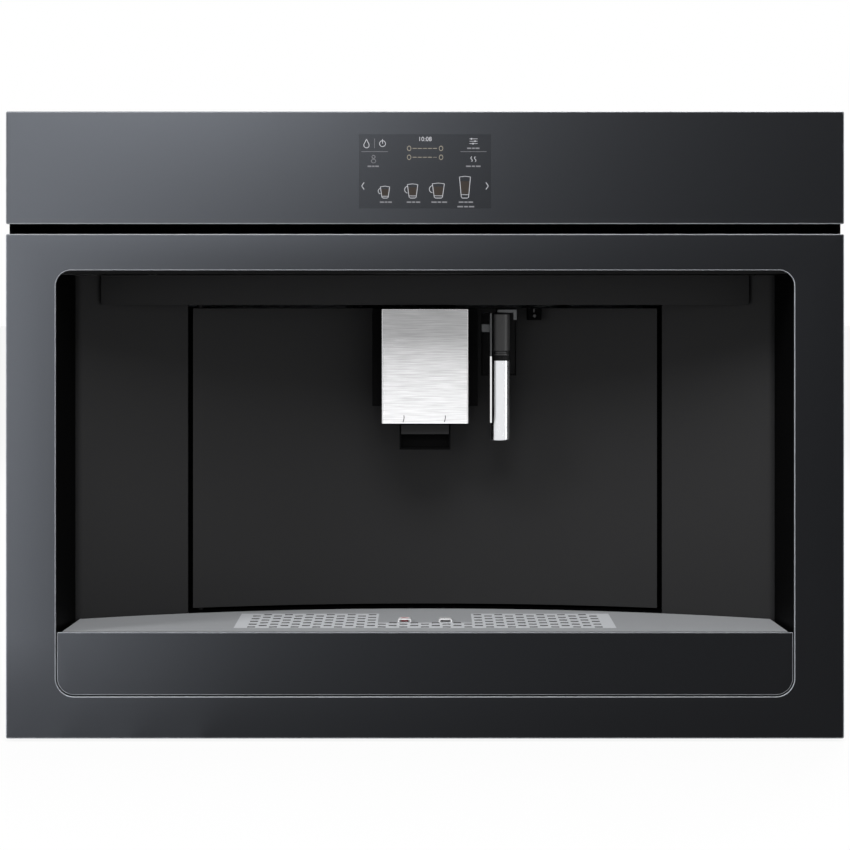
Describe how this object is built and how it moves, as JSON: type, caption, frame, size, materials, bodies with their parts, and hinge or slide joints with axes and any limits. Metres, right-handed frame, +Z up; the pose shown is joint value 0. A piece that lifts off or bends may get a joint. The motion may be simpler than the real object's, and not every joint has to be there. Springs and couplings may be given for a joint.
{
  "type": "built-in coffee machine",
  "caption": "Built-in bean-to-cup coffee machine: dark glass control panel over a framed cup niche with curved service door, sliding spout, drip tray and pull-out runners.",
  "frame": {"origin": "centre of the bounding box's underside, on the cabinet floor under the base plate", "axes": "+X to the right of someone who stands in front, +Y into the cabinet, +Z up"},
  "size_m": [0.596, 0.475, 0.448],
  "materials": {
    "dark_glass": "dark blue-black glass panels with polished chamfers",
    "display": null,
    "black_plastic": "fine-grained black moulding",
    "matte_black": "matte black moulding",
    "door_black": "satin black lacquer",
    "tray_plate": "blasted grey metal with brighter grate",
    "brushed_steel": "horizontally brushed",
    "chrome": "polished",
    "zinc_sheet": "zinc-plated sheet",
    "red_plastic": "satin red",
    "grey_plastic": "satin grey",
    "clear_plastic": "smoked clear moulding",
    "brass": "turned brass",
    "cast_metal": "cast and machined",
    "boiler_shell": "spun sheet over insulation",
    "board_green": "solder-masked circuit board"
  },
  "bodies": {
    "mount_base": {"base_plate": "zinc_sheet", "outer_runner_left": "zinc_sheet", "outer_runner_right": "zinc_sheet"},
    "mid_runners": {"mid_runner_left": "zinc_sheet", "mid_runner_right": "zinc_sheet"},
    "machine": {"inner_runner_left": "zinc_sheet", "inner_runner_right": "zinc_sheet", "chassis_pan": "zinc_sheet", "side_panel_left": "zinc_sheet", "side_panel_right": "zinc_sheet", "top_panel": "zinc_sheet", "back_panel": "zinc_sheet", "front_bulkhead": "zinc_sheet", "control_glass": "dark_glass", "control_carrier": "black_plastic", "display_module": "display", "control_board": "board_green", "handle_channel": "matte_black", "frame_glass": "dark_glass", "frame_carrier": "black_plastic", "niche_panel_left": "matte_black", "niche_panel_right": "matte_black", "niche_ceiling": "matte_black", "valance": "black_plastic", "tray_shelf": "black_plastic", "infuser_frame": "cast_metal", "brew_piston": "grey_plastic", "infuser_motor": "cast_metal", "grounds_container": "black_plastic", "bean_hopper": "clear_plastic", "grinder_housing": "black_plastic", "grinder_motor": "cast_metal", "coffee_boiler": "boiler_shell", "steam_boiler": "boiler_shell", "pump": "brass", "power_board": "board_green", "mains_inlet": "black_plastic"},
    "door": {"service_door": "door_black", "dispenser_guide": "matte_black", "nozzle_connector": "black_plastic", "nozzle_tube": "chrome", "nozzle_bracket": "matte_black", "sensor_block": "black_plastic"},
    "dispenser": {"dispenser_cover": "brushed_steel", "dispenser_slider": "matte_black", "spout_block": "black_plastic"},
    "release_button": {"nozzle_button": "grey_plastic"},
    "drip_tray": {"tray_tub": "black_plastic", "tray_front": "dark_glass"},
    "cup_tray": {"cup_tray_plate": "tray_plate"},
    "float": {"tray_float": "red_plastic"},
    "tank": {"water_tank": "clear_plastic"},
    "hopper_cover": {"hopper_lid": "black_plastic"},
    "dial": {"grind_dial": "grey_plastic", "upper_burr": "cast_metal"},
    "burr": {"lower_burr": "cast_metal"},
    "fan": {"fan_rotor": "black_plastic"},
    "chamber": {"infuser": "grey_plastic"},
    "screw": {"lead_screw": "zinc_sheet"},
    "power_switch": {"main_switch": "red_plastic"}
  },
  "joints": [
    {"name": "machine_slide", "type": "slide", "parent": "mount_base", "child": "machine", "axis": [0, -1, 0], "range_m": [0, 0.33]},
    {"name": "mid_runner_slide", "type": "slide", "parent": "mount_base", "child": "mid_runners", "axis": [0, -1, 0], "range_m": [0, 0.165]},
    {"name": "door_hinge", "type": "hinge", "parent": "machine", "child": "door", "pos_m": [-0.1702, -0.11264, 0.19], "axis": [0, 0, -1], "range_deg": [0, 95]},
    {"name": "dispenser_slide", "type": "slide", "parent": "door", "child": "dispenser", "axis": [0, 0, -1], "range_m": [0, 0.055]},
    {"name": "nozzle_button_press", "type": "slide", "parent": "door", "child": "release_button", "axis": [1, 0, 0], "range_m": [0, 0.002], "stiffness_N_per_m": 400},
    {"name": "drip_tray_slide", "type": "slide", "parent": "machine", "child": "drip_tray", "axis": [0, -1, 0], "range_m": [0, 0.17]},
    {"name": "cup_tray_lift", "type": "slide", "parent": "drip_tray", "child": "cup_tray", "axis": [0, 0, -1], "range_m": [-0.03, 0]},
    {"name": "float_rise", "type": "slide", "parent": "drip_tray", "child": "float", "axis": [0, 0, -1], "range_m": [-0.003, 0]},
    {"name": "water_tank_slide", "type": "slide", "parent": "machine", "child": "tank", "axis": [1, 0, 0], "range_m": [0, 0.12]},
    {"name": "hopper_lid_hinge", "type": "hinge", "parent": "machine", "child": "hopper_cover", "pos_m": [-0.02, 0.2125, 0.4448], "axis": [-1, 0, 0], "range_deg": [0, 85]},
    {"name": "grind_dial_turn", "type": "hinge", "parent": "machine", "child": "dial", "pos_m": [-0.02, 0.108, 0.3], "axis": [0, 0, 1], "range_deg": [-60, 60]},
    {"name": "burr_spin", "type": "hinge", "parent": "machine", "child": "burr", "pos_m": [-0.02, 0.108, 0.25], "axis": [0, 0, 1], "continuous": true},
    {"name": "fan_spin", "type": "hinge", "parent": "machine", "child": "fan", "pos_m": [-0.205, 0.22, 0.345], "axis": [0, 1, 0], "continuous": true},
    {"name": "infuser_lift", "type": "slide", "parent": "machine", "child": "chamber", "axis": [0, 0, 1], "range_m": [0, 0.03]},
    {"name": "lead_screw_spin", "type": "hinge", "parent": "machine", "child": "screw", "pos_m": [0.095, -0.002, 0.2], "axis": [0, 0, 1], "range_deg": [0, 1081]},
    {"name": "main_switch_rock", "type": "hinge", "parent": "machine", "child": "power_switch", "pos_m": [0.102, 0.2295, 0.0645], "axis": [1, 0, 0], "range_deg": [0, 16]}
  ],
  "couplings": [
    {"joint": "mid_runner_slide", "follows": "machine_slide", "ratio": 0.5},
    {"joint": "lead_screw_spin", "follows": "infuser_lift", "rad_per_m": 628.32}
  ]
}
